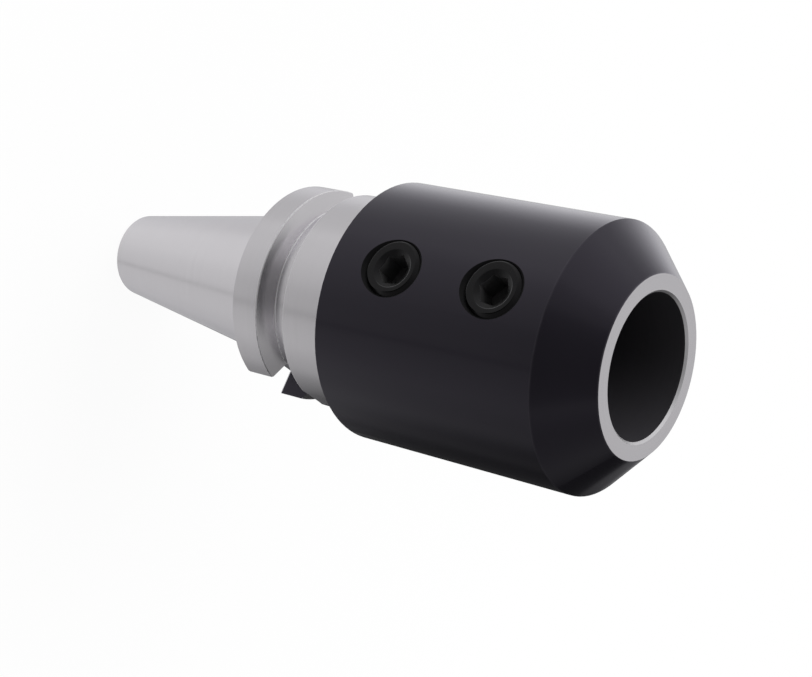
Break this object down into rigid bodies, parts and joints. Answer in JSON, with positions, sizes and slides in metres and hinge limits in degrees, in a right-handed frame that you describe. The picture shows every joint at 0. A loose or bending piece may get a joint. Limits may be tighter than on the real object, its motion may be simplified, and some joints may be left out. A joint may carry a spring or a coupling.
{
  "type": "side lock end mill holder",
  "caption": "Steep-taper milling tool holder with a gripper groove, drive slots and a black clamping body whose side set screws lock a flatted tool shank.",
  "frame": {"origin": "centre of the taper's gauge plane, on the spindle axis", "axes": "+Z along the spindle axis from the gauge plane to the nose, -Y the side of the clamp screws, +X and -X the drive slots; the holder stands on the small end of its taper"},
  "size_m": [0.075, 0.075, 0.1869],
  "materials": {
    "holder_steel": "black oxide clamping body, ground shank, flange, collar and nose face",
    "screw_steel": "black oxide alloy steel"
  },
  "bodies": {
    "holder": {"holder_body": "holder_steel"},
    "rear_screw": {"rear_clamp_screw": "screw_steel"},
    "front_screw": {"front_clamp_screw": "screw_steel"}
  },
  "joints": [
    {"name": "rear_screw_travel", "type": "slide", "parent": "holder", "child": "rear_screw", "axis": [0, -1, 0], "range_m": [-0.00275, 0.01]},
    {"name": "front_screw_travel", "type": "slide", "parent": "holder", "child": "front_screw", "axis": [0, -1, 0], "range_m": [-0.00275, 0.01]}
  ]
}
